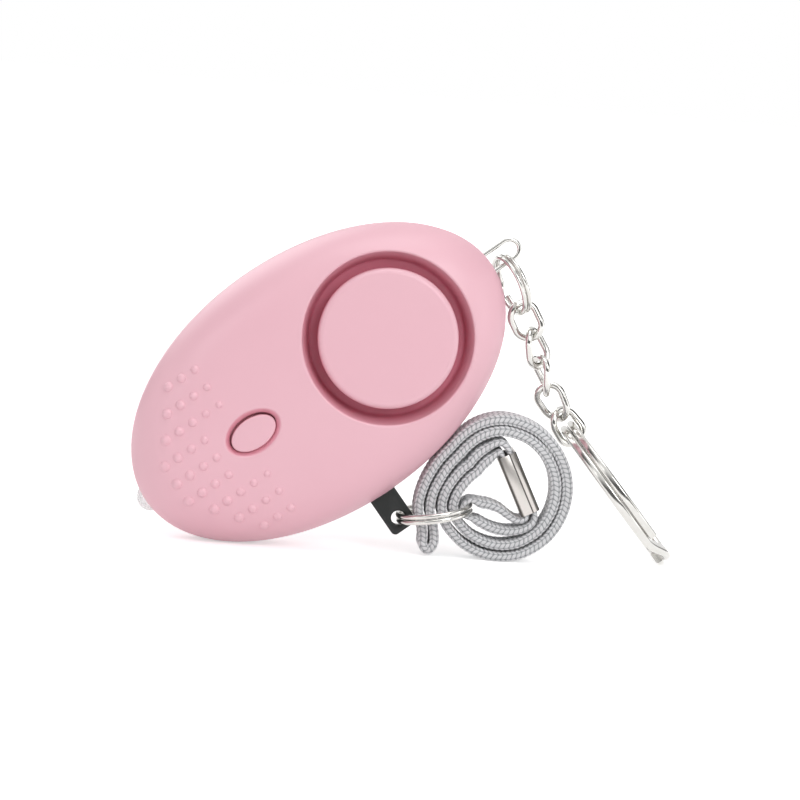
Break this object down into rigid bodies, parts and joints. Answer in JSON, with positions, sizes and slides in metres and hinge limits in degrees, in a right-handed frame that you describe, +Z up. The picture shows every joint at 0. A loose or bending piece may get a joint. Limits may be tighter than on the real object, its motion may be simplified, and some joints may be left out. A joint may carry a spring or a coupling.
{
  "type": "personal safety alarm",
  "caption": "Oval keyring alarm with a sounder, lamp, press button and pull pin on a rolled wrist strap, hung on a chain with a key ring.",
  "frame": {"origin": "on the floor, under the middle of the box round the case, chain and key ring", "axes": "+X to the right towards the key ring, -Y out of the alarm face, +Z up"},
  "size_m": [0.0959, 0.0303, 0.0573],
  "materials": {
    "case_plastic": "satin moulded pink",
    "tab_plastic": "satin black",
    "black_plastic": "moulded black",
    "ivory_plastic": "moulded ivory",
    "ceramic": "fired white",
    "black_rubber": "foam ring",
    "lamp_glass": "clear cast",
    "board": "green resist",
    "brass": "bare sheet",
    "nickel": "bright nickel plate",
    "screw_steel": "plain",
    "cell_steel": "plain",
    "crimp_steel": "dull warm grey",
    "strap_fabric": "flat braid"
  },
  "bodies": {
    "case": {"front_shell": "case_plastic", "rear_shell": "case_plastic", "battery_door": "case_plastic", "sounder_cap": "case_plastic", "door_screw": "screw_steel", "case_screws": "screw_steel", "sounder_gasket": "black_rubber", "piezo_disc": "brass", "piezo_ceramic": "ceramic", "sounder_retainer": "black_plastic", "button_switch": "screw_steel", "led_lamp": "lamp_glass", "led_leads": "nickel", "circuit_board": "board", "driver_chip": "black_plastic", "boost_coil": "black_plastic", "battery_cells": "cell_steel", "cell_contacts": "brass", "door_contacts": "brass", "pin_socket": "ivory_plastic", "switch_leaves": "brass", "bail": "nickel"},
    "button": {"led_button": "case_plastic", "switch_plunger": "black_plastic"},
    "pin": {"pull_pin": "tab_plastic"},
    "strap": {"pull_ring": "nickel", "wrist_strap": "strap_fabric", "strap_crimp": "crimp_steel"},
    "bail_ring": {"bail_ring": "nickel"},
    "link_1": {"chain_link_1": "nickel"},
    "link_2": {"chain_link_2": "nickel"},
    "link_3": {"chain_link_3": "nickel"},
    "link_4": {"chain_link_4": "nickel"},
    "link_5": {"chain_link_5": "nickel"},
    "key_ring": {"key_ring": "nickel"}
  },
  "joints": [
    {"name": "button_press", "type": "slide", "parent": "case", "child": "button", "axis": [0, 0.9976, -0.0698], "range_m": [0, 0.0005], "stiffness_N_per_m": 500, "springref_m": -0.0006},
    {"name": "pin_pull", "type": "slide", "parent": "case", "child": "pin", "axis": [0.6293, -0.0542, -0.7753], "range_m": [0, 0.016]},
    {"name": "strap_swing", "type": "hinge", "parent": "pin", "child": "strap", "pos_m": [-0.00116, -0.00558, 0.00617], "axis": [0, -0.9976, 0.0698], "range_deg": [-60, 0]},
    {"name": "bail_ring_swing", "type": "hinge", "parent": "case", "child": "bail_ring", "pos_m": [0.01409, -0.00241, 0.05141], "axis": [0.7771, 0.0439, 0.6278], "range_deg": [0, 20]},
    {"name": "link_1_swing", "type": "hinge", "parent": "bail_ring", "child": "link_1", "pos_m": [0.01747, -0.00161, 0.04296], "axis": [-0.3093, 0.9487, -0.0651], "range_deg": [-12, 0]},
    {"name": "link_2_swing", "type": "hinge", "parent": "link_1", "child": "link_2", "pos_m": [0.02009, -0.00126, 0.03875], "axis": [0.8257, -0.3412, 0.4492], "range_deg": [-4, 12]},
    {"name": "link_3_swing", "type": "hinge", "parent": "link_2", "child": "link_3", "pos_m": [0.02193, -0.0009, 0.03395], "axis": [0.7899, 0.4988, 0.3568], "range_deg": [-12, 12]},
    {"name": "link_4_swing", "type": "hinge", "parent": "link_3", "child": "link_4", "pos_m": [0.02347, -0.00054, 0.02905], "axis": [0.1439, 0.9824, 0.119], "range_deg": [-12, 10]},
    {"name": "link_5_swing", "type": "hinge", "parent": "link_4", "child": "link_5", "pos_m": [0.02634, -0.00018, 0.02476], "axis": [-0.5734, 0.7642, -0.2953], "range_deg": [-12, 12]},
    {"name": "key_ring_swing", "type": "hinge", "parent": "link_5", "child": "key_ring", "pos_m": [0.02972, 0.00017, 0.02088], "axis": [-0.766, 0, -0.6428], "range_deg": [-20, 20]}
  ]
}
